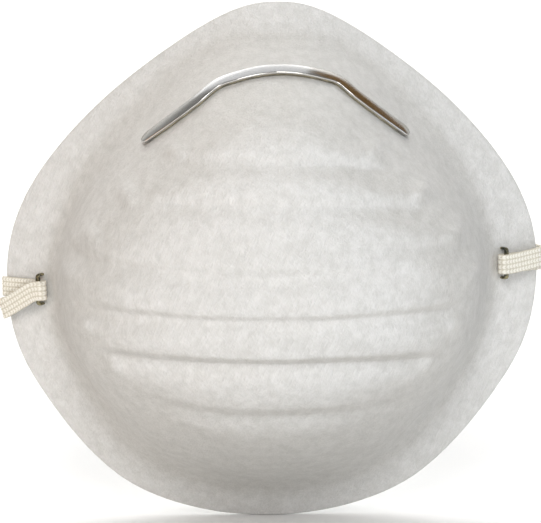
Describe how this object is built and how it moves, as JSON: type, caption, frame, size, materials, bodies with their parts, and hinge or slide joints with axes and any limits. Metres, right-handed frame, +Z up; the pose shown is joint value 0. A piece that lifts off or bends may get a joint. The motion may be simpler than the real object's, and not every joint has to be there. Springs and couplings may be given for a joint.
{
  "type": "disposable dust mask",
  "caption": "Cup-shaped disposable dust mask with pressed ribs, a flared rim, an outside nose clip and a stapled elastic headband.",
  "frame": {"origin": "centre of the face opening, at the height of the cup's widest part, on the plane that the nose and chin edges lie in", "axes": "+Z up towards the nose, +Y from the cup towards the wearer's face, +X to the viewer's right when the mask is seen from outside"},
  "size_m": [0.1407, 0.0613, 0.1334],
  "materials": {
    "shell_felt": "pressed polyester felt",
    "filter_web": "melt-blown web",
    "liner_web": "smooth spunbond web",
    "clip_metal": "rolled, slightly brushed",
    "hot_melt": "translucent adhesive bead",
    "staple_wire": "plated wire",
    "knitted_elastic": "knitted, cream white"
  },
  "bodies": {
    "mask": {"outer_shell": "shell_felt", "filter_layer": "filter_web", "inner_liner": "liner_web", "nose_clip": "clip_metal", "clip_adhesive": "hot_melt", "left_staple": "staple_wire", "right_staple": "staple_wire", "left_band_end": "knitted_elastic", "right_band_end": "knitted_elastic"},
    "headband": {"headband": "knitted_elastic"}
  },
  "joints": [
    {"name": "headband_swing", "type": "hinge", "parent": "mask", "child": "headband", "pos_m": [-0.064, 0.0098, -0.01], "axis": [0.9936, 0, 0.1133], "range_deg": [0, 175]}
  ]
}
